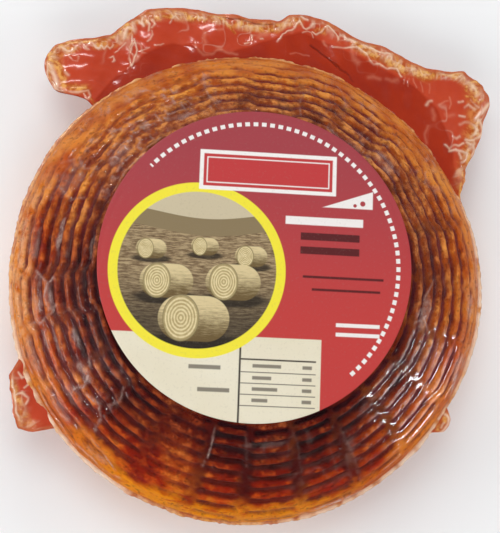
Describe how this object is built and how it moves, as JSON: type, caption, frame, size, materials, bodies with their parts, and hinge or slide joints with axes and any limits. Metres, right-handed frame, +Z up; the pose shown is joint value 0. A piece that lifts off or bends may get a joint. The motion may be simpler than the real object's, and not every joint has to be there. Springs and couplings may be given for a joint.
{
  "type": "vacuum-packed wheel of aged sheep's-milk cheese",
  "caption": "Round aged hard cheese with basket-marked rind, sealed in tight film with crumpled spare flaps and a round paper label on top; rests on its flat base.",
  "frame": {"origin": "centre of the flat base that the wheel rests on, on the wheel's own axis", "axes": "+Z up along the wheel's axis, out of the labelled face; +Y towards the large flap of spare film; +X to the right when the label is read from above with +Y away"},
  "size_m": [0.2212, 0.2364, 0.0631],
  "materials": {
    "sealed_rind": "oiled red-brown rind seen through clear, glossy, red-tinted vacuum film",
    "label_paper": "satin printed paper, mostly red with a cream panel"
  },
  "bodies": {
    "root": {"sealed_wheel": "sealed_rind", "label": "label_paper"}
  },
  "joints": []
}
